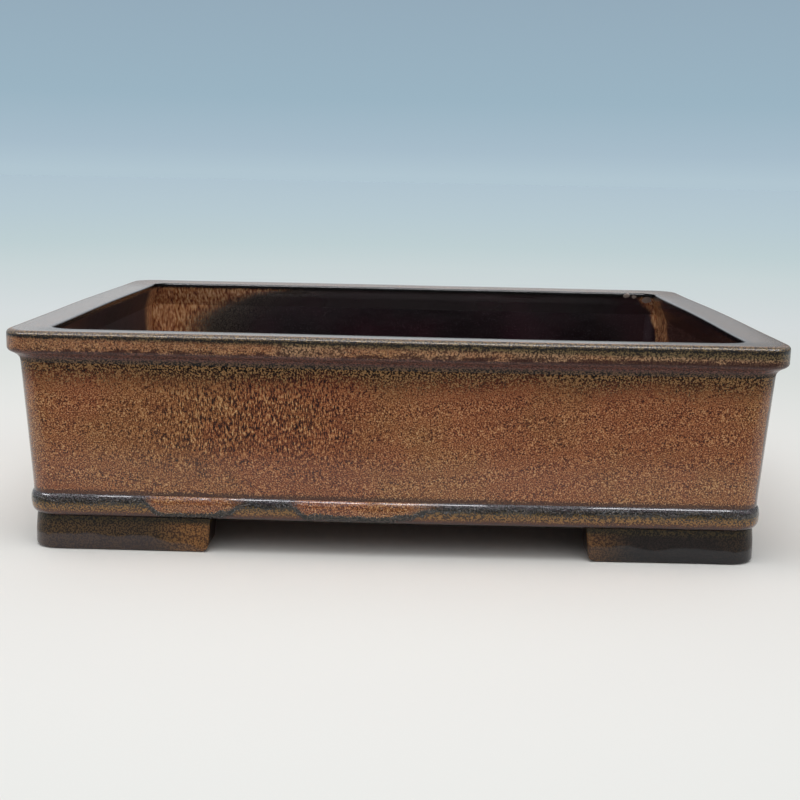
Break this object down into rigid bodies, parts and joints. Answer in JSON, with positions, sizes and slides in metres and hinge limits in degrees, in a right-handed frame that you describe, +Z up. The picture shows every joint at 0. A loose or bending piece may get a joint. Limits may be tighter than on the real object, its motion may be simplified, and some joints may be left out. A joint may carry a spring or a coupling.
{
  "type": "bonsai pot",
  "caption": "Rectangular glazed bonsai pot with leaning walls, a rolled overhanging rim, a belt moulding and low corner feet.",
  "frame": {"origin": "middle of the footprint, on the ground under the feet", "axes": "+X along the long side to the right, +Y towards the back, +Z up"},
  "size_m": [0.4, 0.3, 0.1157],
  "materials": {
    "rim_glaze": "glossy brown glaze that breaks to olive black along the lip edges",
    "wall_glaze": "glossy tan brown glaze with fine dark speckle and short runs",
    "belt_glaze": "glossy olive brown glaze, dark along the shoulder",
    "foot_glaze": "glossy olive black glaze",
    "floor_glaze": "dark red brown glaze",
    "coil_glaze": "dark red brown glaze"
  },
  "bodies": {
    "root": {"floor_slab": "floor_glaze", "front_wall": "wall_glaze", "back_wall": "wall_glaze", "left_wall": "wall_glaze", "right_wall": "wall_glaze", "front_rim": "rim_glaze", "back_rim": "rim_glaze", "left_rim": "rim_glaze", "right_rim": "rim_glaze", "front_belt": "belt_glaze", "back_belt": "belt_glaze", "left_belt": "belt_glaze", "right_belt": "belt_glaze", "front_left_foot": "foot_glaze", "front_left_corner_coil": "coil_glaze", "front_right_foot": "foot_glaze", "front_right_corner_coil": "coil_glaze", "back_left_foot": "foot_glaze", "back_left_corner_coil": "coil_glaze", "back_right_foot": "foot_glaze", "back_right_corner_coil": "coil_glaze", "front_floor_coil": "coil_glaze", "back_floor_coil": "coil_glaze", "left_floor_coil": "coil_glaze", "right_floor_coil": "coil_glaze"}
  },
  "joints": []
}
